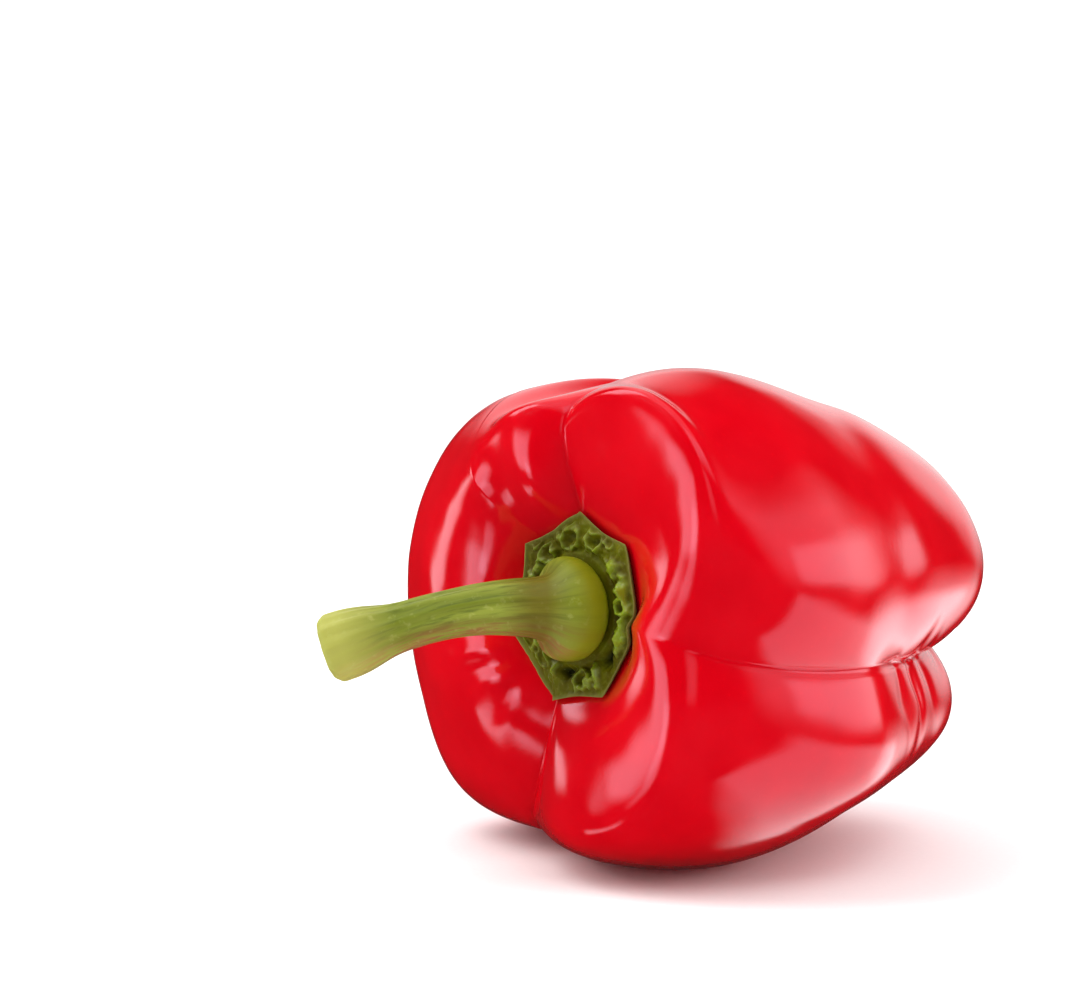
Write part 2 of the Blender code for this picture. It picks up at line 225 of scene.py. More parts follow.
def outward(grid):
    """Unit normals of a closed (column, ring) grid whose columns run round +Z."""
    round_it = np.roll(grid, -1, axis=0) - np.roll(grid, 1, axis=0)
    down_it = np.gradient(grid, axis=1)
    normal = np.cross(down_it, round_it)
    for end in (0, -1):
        normal[:, end] = normal[:, 1 if end == 0 else -2].mean(axis=0)
    return normal / np.maximum(np.linalg.norm(normal, axis=-1, keepdims=True), 1e-9)


def grid_mesh(name, grid, marks):
    """Closed mesh over a (column, ring) grid in metres; the first and last rings close
    to single points.  marks are named values stored at each point."""
    columns, rings = grid.shape[:2]
    first = np.arange(columns)[:, None] * (rings - 2) + np.arange(rings - 2)[None, :]
    after = np.roll(first, -1, axis=0)
    sides = np.stack([first[:, :-1], first[:, 1:], after[:, 1:], after[:, :-1]], axis=-1)
    top, bottom = columns * (rings - 2), columns * (rings - 2) + 1
    caps = [(top, int(a), int(b)) for a, b in zip(first[:, 0], after[:, 0])]
    caps += [(bottom, int(b), int(a)) for a, b in zip(first[:, -1], after[:, -1])]
    ends = np.stack([grid[:, 0].mean(axis=0), grid[:, -1].mean(axis=0)])
    verts = np.concatenate([grid[:, 1:-1].reshape(-1, 3), ends])
    mesh = bpy.data.meshes.new(name)
    mesh.from_pydata(verts.tolist(), [], sides.reshape(-1, 4).tolist() + caps)
    for label, values in marks.items():
        ends = np.array([values[:, 0].mean(), values[:, -1].mean()])
        layer = mesh.attributes.new(label, "FLOAT", "POINT")
        layer.data.foreach_set("value", np.concatenate([values[:, 1:-1].ravel(), ends]))
    mesh.shade_smooth()
    obj = bpy.data.objects.new(name, mesh)
    bpy.context.scene.collection.objects.link(obj)
    return obj


def ripple(points, size, seed):
    """Smooth waviness between -1 and 1, with lumps about size millimetres across."""
    shift = Vector((seed * 7.3, seed * 3.1, seed * 5.7))
    flat = points.reshape(-1, 3) / size
    values = [noise.noise(Vector(p) + shift) for p in flat.tolist()]
    return np.array(values).reshape(points.shape[:-1])


down = np.linspace(0.0, 1.0, SKIN_RINGS + 1)
skin = np.concatenate([skin_points(rank, np.arange(count) / count, down)
                       for rank, count in enumerate(SKIN_COLUMNS)])
laid = lay_down(skin).reshape(-1, 3)
laid[:, 2] = np.maximum(laid[:, 2], laid[:, 2].min() + PRESSED)
box_low, box_high = (np.array(corner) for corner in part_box("fruit"))
seat = (box_low + box_high) / 2 - (laid.min(axis=0) + laid.max(axis=0)) / 2 * MM


def in_place(points):
    """Growing frame in millimetres to where the pepper lies, in metres."""
    return lay_down(points) * MM + seat


# The flanks wave a little, and fine lengthwise lumps break up the reflections.  Both
# begin outside the calyx.
WAVE_HEIGHT, WAVE_SIZE = 0.26, 17.0
LUMP_HEIGHT, LUMP_SIZE = 0.07, 5.5
LENGTHWISE = (1.0, 1.0, 0.6)    # the shape of a wave or lump: longer along the fruit
CALM_SEAT_RADIUS = 14.0
CALM_SEAT_FADE = 10.0
# Creases pressed across the groove on the right near the blossom end: height, how many
# degrees each runs to the two sides of the groove, its slant and its depth.
CREASES = ((-43.0, 9.0, 0.10, 0.30), (-51.5, 13.0, -0.06, 0.60), (-58.0, 11.0, 0.12, 0.45),
           (-66.5, 10.0, 0.04, 0.40))
CREASE_HALF_WIDTH = 1.9
CREASE_WOBBLE, CREASE_WOBBLE_SIZE = 2.6, 8.0
CREASE_SWAY = 0.6               # part of the groove's own turn that they follow

lengthwise = skin * LENGTHWISE
swelling = (WAVE_HEIGHT * ripple(lengthwise, WAVE_SIZE, 1)
            + LUMP_HEIGHT * ripple(lengthwise, LUMP_SIZE, 2))
round_angle = np.degrees(np.arctan2(skin[..., 1], skin[..., 0]))
away = np.linalg.norm(skin, axis=-1)


def aside(angle):
    """Degrees each point of the skin lies counter-clockwise of a direction."""
    return (round_angle - angle + 180) % 360 - 180


off_line = aside(GROOVES["right"]["angle"] + CREASE_SWAY * GROOVES["right"]["sway_low"])
wobble = CREASE_WOBBLE * ripple(skin, CREASE_WOBBLE_SIZE, 3)
for crease_height, reach, slant, depth in CREASES:
    gap = (skin[..., 2] - crease_height - slant * off_line + wobble) / CREASE_HALF_WIDTH
    swelling = swelling - depth * np.exp(-gap ** 2) * np.exp(-(off_line / reach) ** 2)
# A soft valley runs down into the hollow on the left, from the shoulder to the calyx.
stem_end = skin[..., 2] > -20.0     # the part of the skin that faces the stem
VALLEY_DIRECTION = 131.0
VALLEY_SWAY = 0.35              # degrees it turns in each millimetre outward
VALLEY_HALF_WIDTH = 6.0
VALLEY_DEPTH = 0.5
VALLEY_BEGIN, VALLEY_FADE_IN = 17.0, 4.0        # distance from the calyx seat
VALLEY_END, VALLEY_FADE_OUT = 34.0, 7.0
gap = aside(VALLEY_DIRECTION + VALLEY_SWAY * (away - VALLEY_BEGIN))
gap = np.radians(gap) * away / VALLEY_HALF_WIDTH
inside = (np.clip((away - VALLEY_BEGIN) / VALLEY_FADE_IN, 0, 1)
          * np.clip((VALLEY_END - away) / VALLEY_FADE_OUT, 0, 1))
swelling = swelling - VALLEY_DEPTH * np.exp(-gap ** 2) * inside * stem_end
# Small wrinkles run out from the calyx over the lower left of the hollow.
WRINKLE_HEIGHT, WRINKLE_SPACING = 0.16, 15.0    # spacing in degrees
WRINKLE_WOBBLE, WRINKLE_WOBBLE_SIZE = 5.0, 9.0
WRINKLES_MIDDLE, WRINKLES_HALF_ANGLE = 205.0, 30.0
WRINKLES_BEGIN, WRINKLES_FADE_IN = 16.0, 5.0
WRINKLES_END, WRINKLES_FADE_OUT = 33.0, 6.0
fan = aside(WRINKLES_MIDDLE)
wobble = WRINKLE_WOBBLE * ripple(skin, WRINKLE_WOBBLE_SIZE, 4)
wrinkles = np.cos(math.tau * (fan + wobble) / WRINKLE_SPACING)
wrinkles = wrinkles * np.exp(-(fan / WRINKLES_HALF_ANGLE) ** 4)
wrinkles = wrinkles * np.clip((away - WRINKLES_BEGIN) / WRINKLES_FADE_IN, 0, 1)
wrinkles = wrinkles * np.clip((WRINKLES_END - away) / WRINKLES_FADE_OUT, 0, 1)
swelling = swelling + WRINKLE_HEIGHT * wrinkles * stem_end
calm_seat = np.clip((away - CALM_SEAT_RADIUS) / CALM_SEAT_FADE, 0, 1)
skin_shape = skin + outward(skin) * ((swelling * calm_seat)[..., None])

# A little unripe green is left beside the calyx, round the groove on the right.
UNRIPE_RADIUS, UNRIPE_HALF_WIDTH = 17.6, 2.2
UNRIPE_MIDDLE, UNRIPE_HALF_ANGLE = -14.0, 44.0
unripe = (np.exp(-((away - UNRIPE_RADIUS) / UNRIPE_HALF_WIDTH) ** 2)
          * np.exp(-(aside(UNRIPE_MIDDLE) / UNRIPE_HALF_ANGLE) ** 4))
# The flower's dry brown scar sits in the dimple at the blossom end.
SCAR_RADIUS = 2.2
blossom_end = skin[..., 2] < -40.0
off_axis = np.hypot(skin[..., 0], skin[..., 1]) / SCAR_RADIUS
below = (skin[..., 2] - NAVEL_HEIGHT) / 40.0
scar = np.exp(-below ** 2) * np.exp(-off_axis ** 2) * blossom_end

lying = in_place(skin_shape)
lying[..., 2] = np.maximum(lying[..., 2], 0.0)
fruit = grid_mesh("pepper_fruit", lying, {"unripe": unripe, "scar": scar})


def linear(hex_colour):
    """sRGB hex to the linear colour that a socket takes."""
    parts = [int(hex_colour[i:i + 2], 16) / 255 for i in (1, 3, 5)]
    return [p / 12.92 if p <= 0.04045 else ((p + 0.055) / 1.055) ** 2.4 for p in parts] + [1.0]


def add_node(tree, kind, settings, inputs=None, links=None):
    """A node with its settings, socket values and incoming links."""
    node = tree.nodes.new(kind)
    for key, value in settings.items():
        setattr(node, key, value)
    for key, value in (inputs or {}).items():
        node.inputs[key].default_value = value
    for key, socket in (links or {}).items():
        tree.links.new(socket, node.inputs[key])
    return node


def colour_mix(tree, amount, first, second):
    """Colour between first and second; each is a hex colour or a socket."""
    node = add_node(tree, "ShaderNodeMix", {"data_type": "RGBA"}, None, {0: amount})
    for slot, colour in ((6, first), (7, second)):
        if isinstance(colour, str):
            node.inputs[slot].default_value = linear(colour)
        else:
            tree.links.new(colour, node.inputs[slot])
    return node.outputs[2]


def pattern_scale(size):
    """Noise scale, in metres, of a pattern whose marks are size millimetres across."""
    return 1.0 / (size * MM)


def spread(tree, value, low, high, to_low=0.0, to_high=1.0):
    """A value stretched from low..high to to_low..to_high, and held inside it."""
    node = add_node(tree, "ShaderNodeMapRange", {"clamp": True},
                    {1: low, 2: high, 3: to_low, 4: to_high}, {0: value})
    return node.outputs[0]


# Ripe pepper skin: a waxy cuticle over red flesh.  The wax gives a clear, slightly
# soft mirror, faintly rose where it shines; the flesh under it glows a little and its
# red is not quite even.
skin_wax = bpy.data.materials.new("ripe_pepper_skin")
skin_wax.use_nodes = True
tree = skin_wax.node_tree
shader = tree.nodes["Principled BSDF"]
place = add_node(tree, "ShaderNodeTexCoord", {}).outputs["Object"]
# The red is cloudy over about 11 mm.  Real pores are finer than the 0.8 mm drawn here,
# which is as coarse as they need to be to show.
CLOUD_SIZE = 11.11
PORE_SIZE = 0.769
cloudy = add_node(tree, "ShaderNodeTexNoise", {},
                  {"Scale": pattern_scale(CLOUD_SIZE), "Detail": 3.0},
                  {"Vector": place}).outputs[0]
pores = add_node(tree, "ShaderNodeTexNoise", {},
                 {"Scale": pattern_scale(PORE_SIZE), "Detail": 2.0},
                 {"Vector": place}).outputs[0]
green_left = add_node(tree, "ShaderNodeAttribute", {"attribute_name": "unripe"}).outputs["Fac"]
dry_scar = add_node(tree, "ShaderNodeAttribute", {"attribute_name": "scar"}).outputs["Fac"]
red = colour_mix(tree, spread(tree, cloudy, 0.35, 0.65), "#BE000E", "#C80010")
red = colour_mix(tree, spread(tree, pores, 0.62, 0.78, 0.0, 0.25), red, "#DC000C")
red = colour_mix(tree, spread(tree, green_left, 0.25, 1.0, 0.0, 0.8), red, "#A63A0C")
red = colour_mix(tree, spread(tree, dry_scar, 0.2, 0.8), red, "#6B4A25")
tree.links.new(red, shader.inputs["Base Color"])
tree.links.new(spread(tree, cloudy, 0.3, 0.7, 0.085, 0.13), shader.inputs["Roughness"])
shader.inputs["IOR"].default_value = 1.46
shader.inputs["Specular Tint"].default_value = linear("#FFDEFA")
shader.inputs["Subsurface Weight"].default_value = 0.12
shader.inputs["Subsurface Radius"].default_value = (1.0, 0.12, 0.06)
shader.inputs["Subsurface Scale"].default_value = 2.5 * MM
grain = add_node(tree, "ShaderNodeBump", {}, {"Strength": 0.12, "Distance": 0.05 * MM},
                 {"Height": pores})
tree.links.new(grain.outputs["Normal"], shader.inputs["Normal"])
fruit.data.materials.append(skin_wax)
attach(fruit, "root")
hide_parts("fruit")

# ---------------------------------------------------------------- calyx
# The calyx is the green cap that held the flower: one fleshy leaf-like disc grown onto
# the fruit, with seven short teeth, a thin rim, and round the stem a ring of blisters,
# folds and pits where it was squeezed between the swelling shoulders.
TEETH = ((-9.0, 16.0), (45.0, 17.1), (90.5, 16.5), (141.5, 15.8), (193.0, 16.2),
         (253.0, 17.0), (305.0, 16.6))      # direction and radius of each point
TOOTH_WAIST = 0.87          # the edge between two teeth, as a part of their radius
PAD_RADIUS = 10.0           # flat middle under the stem
PAD_TOP = 2.6
RIM_THICKNESS = 0.55
CLEARANCE = 0.35            # between the calyx and the skin under it
LEAST_THICKNESS = 0.25
# Thickness of the leaf, from the pad's edge (0) to the rim (1).
LEAF_AT = (0.0, 0.2, 0.45, 0.8, 1.0)
LEAF_THICKNESS = (1.2, 1.9, 1.7, 0.9, RIM_THICKNESS)
TOOTH_POINTEDNESS = 1.9     # exponent of the curve from waist to point
CALYX_COLUMNS = 420
CALYX_TOP_RINGS = 100
CALYX_UNDER_RINGS = 24
# A cratered swelling is a ring this wide round a crater this wide, as parts of its size.
RING_HALF_WIDTH = 0.34
CRATER_HALF_WIDTH = 0.6
CRATER_DEPTH = 0.6          # how much of the listed depth is cut
RAGGED, RAGGED_SIZE = 0.55, 1.3     # how uneven a swelling's outline is
LUMPS = ((0.42, 1.7, 5), (0.22, 0.8, 6))    # height, size and seed of the small lumps
VEIN_HEIGHT = 0.10
VEINS_ROUND = 9.0           # fine veins run outward, this close together round the stem
LIP_HEIGHT, LIP_HALF_WIDTH = 0.35, 0.45     # the rim turns up between the teeth
STEM_RING_RADIUS = 9.2      # the relief begins beyond the ring of the stem
RIM_FADE = 1.8              # and fades out before the rim

# Angle, radius, half-length round and half-width out of each swelling, its height, and
# the depth of the crater in its middle.  One without a crater is a blister, or a pit
# where its height is negative.
SWELLINGS = (
    (100.0, 11.9, 2.24, 1.68, 0.88, 1.04), (71.0, 12.3, 1.79, 1.57, 0.96, 1.20),
    (57.0, 14.2, 1.00, 0.90, 0.60, 0.30), (41.0, 11.7, 1.57, 1.46, 1.50, 0.00),
    (23.0, 12.0, 1.57, 1.46, 1.60, 0.00), (8.0, 11.7, 1.46, 1.46, 1.60, 0.20),
    (-17.0, 12.2, 2.91, 1.23, 1.70, 0.00), (-40.0, 10.9, 1.68, 1.34, -1.50, 0.00),
    (-57.0, 11.7, 0.67, 2.24, 1.50, 0.00), (-77.0, 11.9, 1.68, 1.57, 1.04, 0.96),
    (-97.0, 11.0, 1.46, 1.01, -1.50, 0.00), (-110.0, 11.2, 0.67, 2.13, 1.00, 0.00),
    (-128.0, 11.7, 1.79, 1.34, 0.70, 0.60), (-150.0, 12.2, 1.57, 1.34, 0.80, 0.50),
    (-172.0, 11.5, 1.79, 1.34, 1.00, 0.00), (166.0, 11.7, 1.46, 1.46, 1.00, 0.60),
    (148.0, 11.3, 1.34, 1.23, 1.00, 0.00), (131.0, 11.3, 1.57, 1.34, 1.10, 1.00),
    (134.0, 14.6, 1.10, 0.80, 0.60, 0.50), (85.0, 14.9, 1.00, 0.70, 0.50, 0.00),
    (30.0, 14.8, 1.20, 0.60, 0.50, 0.00), (-88.0, 14.7, 1.20, 0.70, 0.50, 0.00))


def calyx_edge(angle):
    """Radius of the outline: drawn in between neighbouring teeth, pointed at them."""
    degrees = np.degrees(angle)
    reach = np.zeros_like(degrees)
    for here, there in zip(TEETH, TEETH[1:] + ((TEETH[0][0] + 360.0, TEETH[0][1]),)):
        part = ((degrees - here[0]) % 360.0) / (there[0] - here[0])
        inside = part < 1.0
        waist = TOOTH_WAIST * (here[1] + there[1]) / 2
        side = np.where(part < 0.5, here[1], there[1])
        drawn = (1 - 2 * np.minimum(part, 1 - part)) ** TOOTH_POINTEDNESS
        reach = np.where(inside, waist + (side - waist) * drawn, reach)
    return reach


hollow = skin_shape[:, :SKIN_RINGS // 3]
hollow_rows = np.arange(hollow.shape[0] * hollow.shape[1]).reshape(hollow.shape[:2])
next_rows = np.roll(hollow_rows, -1, axis=0)
hollow_faces = np.stack([hollow_rows[:, :-1], hollow_rows[:, 1:], next_rows[:, 1:],
                         next_rows[:, :-1]], axis=-1).reshape(-1, 4)
skin_tree = BVHTree.FromPolygons(hollow.reshape(-1, 3).tolist(), hollow_faces.tolist())


def skin_height(x, y):
    """Height of the skin under a point of the calyx."""
    found = skin_tree.ray_cast(Vector((x + 0.02, y + 0.03, 40.0)), Vector((0, 0, -1)))[0]
    return found.z if found else SEAT_RISE


angle = np.arange(CALYX_COLUMNS) * math.tau / CALYX_COLUMNS
edge = calyx_edge(angle)[:, None]
reach = np.linspace(0.0, 1.0, CALYX_TOP_RINGS + 1) ** 0.7
over = edge * reach[None, :]
under = edge * np.linspace(1.0, 0.0, CALYX_UNDER_RINGS + 1)[None, 1:]
radius = np.concatenate([over, under], axis=1)
x = radius * np.cos(angle)[:, None]
y = radius * np.sin(angle)[:, None]
bed = np.array([skin_height(px, py) for px, py in zip(x.ravel(), y.ravel())]).reshape(x.shape)
bed = bed + CLEARANCE
calyx_points = np.stack([x, y, bed], axis=-1)

top = calyx_points[:, :CALYX_TOP_RINGS + 1].copy()
out_from_pad = np.clip((over - PAD_RADIUS) / (edge - PAD_RADIUS), 0, 1)
thickness = np.interp(out_from_pad, LEAF_AT, LEAF_THICKNESS)
relief = np.zeros_like(over)
warp = 1 + RAGGED * ripple(top, RAGGED_SIZE, 8)
for toward, out, half_round, half_out, swell, crater in SWELLINGS:
    gap = (np.degrees(angle)[:, None] - toward + 180.0) % 360.0 - 180.0
    distance = np.hypot(np.radians(gap) * out / half_round, (over - out) / half_out) * warp
    if crater:
        ring = np.exp(-((distance - 1.0) / RING_HALF_WIDTH) ** 2)
        relief += swell * ring * (0.65 + 0.5 * (warp - 0.7))
        relief -= crater * CRATER_DEPTH * np.exp(-(distance / CRATER_HALF_WIDTH) ** 2)
    else:
        relief += swell * np.exp(-distance ** 2)
lumpy = sum(high * ripple(top, size, seed) for high, size, seed in LUMPS)
veins_place = np.stack([angle[:, None] * VEINS_ROUND + 0 * over, over * 0.35, 0 * over],
                       axis=-1)
veins = VEIN_HEIGHT * ripple(veins_place, 0.5, 7)
beyond_stem = np.clip(over - STEM_RING_RADIUS, 0, 1)
before_rim = np.clip((edge - over) / RIM_FADE, 0, 1)
relief = (relief * np.clip(before_rim * 1.4, 0, 1) + lumpy * before_rim + veins) * beyond_stem
between_teeth = np.exp(-((edge - edge.min()) / 2) ** 2)
lip = LIP_HEIGHT * np.exp(-((edge - over) / LIP_HALF_WIDTH) ** 2) * between_teeth
blend = np.clip((over - PAD_RADIUS + 0.6) / 1.2, 0, 1)
height = PAD_TOP * (1 - blend) + (top[..., 2] + thickness) * blend
top[..., 2] = np.maximum(height + relief + lip * beyond_stem, top[..., 2] + LEAST_THICKNESS)
calyx_points = np.concatenate([top, calyx_points[:, CALYX_TOP_RINGS + 1:]], axis=1)

under_zeros = np.zeros((CALYX_COLUMNS, CALYX_UNDER_RINGS))
calyx_marks = {
    "raised": np.concatenate([relief * beyond_stem, under_zeros], axis=1),
    "to_rim": np.concatenate([1 - np.clip((edge - over) / 1.3, 0, 1), under_zeros + 1], axis=1)}
calyx = grid_mesh("pepper_calyx", in_place(calyx_points), calyx_marks)

# Calyx tissue: thick green leaf, dull olive where it is thin, wet-looking on the blisters,
# with a pale dry rim.  The blisters are lighter and greener, partly their own colour and
# partly a painted highlight on the raised tops; the pits and crater middles carry painted
# shade, nearly black-green.
calyx_leaf = bpy.data.materials.new("fresh_calyx_leaf")
calyx_leaf.use_nodes = True
tree = calyx_leaf.node_tree
shader = tree.nodes["Principled BSDF"]
place = add_node(tree, "ShaderNodeTexCoord", {}).outputs["Object"]
PATCH_SIZE = 3.03           # patches of lighter and darker green
SPECK_SIZE = 0.4545         # pale flecks
patches = add_node(tree, "ShaderNodeTexNoise", {},
                   {"Scale": pattern_scale(PATCH_SIZE), "Detail": 4.0},
                   {"Vector": place}).outputs[0]
specks = add_node(tree, "ShaderNodeTexNoise", {},
                  {"Scale": pattern_scale(SPECK_SIZE), "Detail": 2.0},
                  {"Vector": place}).outputs[0]
raised = add_node(tree, "ShaderNodeAttribute", {"attribute_name": "raised"}).outputs["Fac"]
to_rim = add_node(tree, "ShaderNodeAttribute", {"attribute_name": "to_rim"}).outputs["Fac"]
green = colour_mix(tree, spread(tree, patches, 0.35, 0.65), "#4C4602", "#5A5C04")
# Lighter, greener on the blisters: partly their own colour, partly a painted highlight on the
# raised tops.
green = colour_mix(tree, spread(tree, raised, 0.25, 1.1), green, "#7C8C1C")
# Painted shade: the pits and crater middles are darkened nearly to black-green.
green = colour_mix(tree, spread(tree, raised, -0.25, -1.3), green, "#1C1E06")
green = colour_mix(tree, spread(tree, to_rim, 0.35, 1.0, 0.0, 0.7), green, "#7A733E")
green = colour_mix(tree, spread(tree, specks, 0.62, 0.75, 0.0, 0.25), green, "#8E9450")
tree.links.new(green, shader.inputs["Base Color"])
tree.links.new(spread(tree, raised, 0.0, 0.9, 0.5, 0.27), shader.inputs["Roughness"])
shader.inputs["IOR"].default_value = 1.43
tree.links.new(spread(tree, raised, 0.1, 0.9, 0.08, 0.5), shader.inputs["Specular IOR Level"])
shader.inputs["Subsurface Weight"].default_value = 0.15
shader.inputs["Subsurface Radius"].default_value = (0.5, 1.0, 0.2)
shader.inputs["Subsurface Scale"].default_value = 1.0 * MM
grain = add_node(tree, "ShaderNodeBump", {}, {"Strength": 0.5, "Distance": 0.12 * MM},
                 {"Height": specks})
tree.links.new(grain.outputs["Normal"], shader.inputs["Normal"])
calyx.data.materials.append(calyx_leaf)
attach(calyx, "root")
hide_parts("calyx")

# ---------------------------------------------------------------- stem
# The fruit stalk: a fibrous green shaft that leaves the calyx from a swollen ring, bends
# to one side under the fruit's weight, and flares into the joint where it was cut off
# the plant.  The cut face is slightly sunk, pale, with a corky edge.
STEM_PATH = ((0.0, 0.0, 2.95), (-0.2, 0.0, 5.5), (-1.2, 0.1, 8.5), (-4.0, 0.0, 12.2),
             (-10.0, -1.2, 18.6), (-15.0, -3.2, 23.8), (-19.0, -5.3, 28.0),
             (-25.5, -9.0, 34.6))
# Distance along the stem and radius there.
STEM_OUTLINE = ((0.0, 7.9), (0.6, 8.8), (1.8, 9.3), (3.1, 9.2), (4.2, 8.5), (4.9, 7.5),
                (5.5, 6.5), (6.4, 5.8), (8.0, 5.3), (10.0, 5.05), (14.0, 4.7), (20.0, 4.3),
                (27.0, 4.25), (32.0, 4.6), (35.6, 5.4), (38.9, 6.0), (41.5, 6.2),
                (42.6, 5.9), (43.2, 5.2))
STEM_OVAL = 0.06            # how much the shaft is out of round
STEM_COLUMNS = 240
STEM_RINGS = 420
CUT_RINGS = 60
CUT_DEPTH = 0.9             # how far the pith is sunk below the cut edge
RIB_COUNT = 11              # soft lengthwise ribs
RIB_HEIGHT = 0.13
FIBRE_HEIGHT = 0.06
TWIST = 0.012               # radians the ribs turn in each millimetre
SHAFT_RADIUS = 4.5          # of the round shaft that the fibres are laid on
SHAFT_BEGINS = 4.5          # distance along the stem where the ring gives way to it
FLARE_BEGINS = 31.0         # and where it grows knobbly toward the cut
KNOB_HEIGHT = 0.45
RING_SWELL = 0.45           # how much higher the ring is on the outside of the bend
THIN_END = 3.0              # rings smaller than this keep less and less relief

path = np.array(STEM_PATH)
steps = np.linalg.norm(np.diff(path, axis=0), axis=1)
mileage = np.concatenate([[0.0], np.cumsum(steps)])
outline = np.array(STEM_OUTLINE)

# Rings up the shaft, then rings inward over the cut face.
travel = np.linspace(0.0, outline[-1, 0], STEM_RINGS)
reach = smooth_curve(outline[:, 0], outline[:, 1:], travel)[:, 0]
inward = np.linspace(1.0, 0.0, CUT_RINGS + 1)[1:]
sunk = CUT_DEPTH * np.clip((1 - inward) / 0.25, 0, 1) ** 0.7
travel = np.concatenate([[0.0], travel, travel[-1] - sunk])
reach = np.concatenate([[0.0], reach, reach[-1] * inward])

here = smooth_curve(mileage, path, travel)
ahead = smooth_curve(mileage, path, travel + 0.01)
forward = (ahead - here) / np.linalg.norm(ahead - here, axis=1, keepdims=True)
side = np.cross((0.0, 1.0, 0.0), forward)
side = side / np.linalg.norm(side, axis=1, keepdims=True)
other = np.cross(forward, side)

turn = np.arange(STEM_COLUMNS) * math.tau / STEM_COLUMNS
ring_angle = turn[:, None] + 0 * travel[None, :]
along = travel[None, :] + 0 * ring_angle
twist = ring_angle + TWIST * along
# Where a point lies on the straight shaft; a tenth of the length, so fibres are drawn out.
unrolled = np.stack([SHAFT_RADIUS * np.cos(twist), SHAFT_RADIUS * np.sin(twist),
                     along * 0.10], axis=-1)
on_shaft = np.clip((along - SHAFT_BEGINS) / 6.0, 0, 1)
ribs = RIB_HEIGHT * np.cos(RIB_COUNT * twist + 1.4 * ripple(unrolled, 3.0, 11)) * on_shaft
fibres = FIBRE_HEIGHT * ripple(unrolled, 0.55, 12) * (0.3 + 0.7 * on_shaft)
lumps = ripple(unrolled * (1.0, 1.0, 1.6), 3.6, 13) * (0.14 + 0.16 * on_shaft)
at_end = np.clip((along - FLARE_BEGINS) / 10.0, 0, 1)
knobs = KNOB_HEIGHT * ripple(unrolled * (1.0, 1.0, 4.0), 3.2, 14) * at_end
shape = 1 + STEM_OVAL * np.cos(2 * ring_angle)
wide_enough = np.clip(reach / THIN_END, 0, 1)
full = reach[None, :] * shape + (ribs + fibres + lumps + knobs) * wide_enough
# The ring is highest on the outside of the bend and hollow on the inside of it.
ring_swell = np.exp(-((along - 2.6) / 2.2) ** 2) * (RING_SWELL * np.cos(ring_angle - 0.3))
full = full + ring_swell * wide_enough
stem_points = (here[None] + side[None] * (full * np.cos(ring_angle))[..., None]
               + other[None] * (full * np.sin(ring_angle))[..., None])
face = np.zeros_like(along)
face[:, STEM_RINGS + 1:] = 1.0
middle_out = np.concatenate([np.ones(STEM_RINGS + 1), inward])[None, :] + 0 * ring_angle
stem_marks = {"along": along, "cut_face": face, "from_pith": middle_out,
              "fibre_x": unrolled[..., 0], "fibre_y": unrolled[..., 1],
              "fibre_z": unrolled[..., 2], "underside": -np.sin(ring_angle)}
stem = grid_mesh("pepper_stem", in_place(stem_points), stem_marks)

# Stalk tissue: fibrous and satin, yellow-green along the shaft with darker and brownish
# strands, a dark ochre in the hollow of the ring that is partly its own colour and partly
# painted shade, and paler toward the cut.
stalk = bpy.data.materials.new("fibrous_green_stalk")
stalk.use_nodes = True
tree = stalk.node_tree
shader = tree.nodes["Principled BSDF"]
marks = {label: add_node(tree, "ShaderNodeAttribute", {"attribute_name": label}).outputs["Fac"]
         for label in stem_marks}
strand_place = add_node(tree, "ShaderNodeCombineXYZ", {}, None,
                        {0: marks["fibre_x"], 1: marks["fibre_y"], 2: marks["fibre_z"]}).outputs[0]
# Strands and the broader bands of colour lie along the shaft, whose own places are in
# millimetres; the mottling over them does not.
STRAND_WIDTH = 0.5263
BAND_WIDTH = 2.222
MOTTLE_SIZE = 1.4286
strands = add_node(tree, "ShaderNodeTexNoise", {}, {"Scale": 1 / STRAND_WIDTH, "Detail": 4.0},
                   {"Vector": strand_place}).outputs[0]
bands = add_node(tree, "ShaderNodeTexNoise", {}, {"Scale": 1 / BAND_WIDTH, "Detail": 2.0},
                 {"Vector": strand_place}).outputs[0]
place = add_node(tree, "ShaderNodeTexCoord", {}).outputs["Object"]
mottle = add_node(tree, "ShaderNodeTexNoise", {},
                  {"Scale": pattern_scale(MOTTLE_SIZE), "Detail": 3.0},
                  {"Vector": place}).outputs[0]
green = colour_mix(tree, spread(tree, bands, 0.35, 0.65), "#657018", "#838C34")
green = colour_mix(tree, spread(tree, strands, 0.50, 0.68, 0.0, 0.7), green, "#4E5A1C")
low_side = add_node(tree, "ShaderNodeMath", {"operation": "MULTIPLY"}, None,
                    {0: spread(tree, marks["underside"], 0.1, 0.9),
                     1: spread(tree, strands, 0.40, 0.60)}).outputs[0]
green = colour_mix(tree, low_side, green, "#965C38")
green = colour_mix(tree, spread(tree, marks["along"], 30.0, 40.0, 0.0, 0.85), green, "#A8A750")
green = colour_mix(tree, spread(tree, mottle, 0.60, 0.74, 0.0, 0.30), green, "#B2B468")
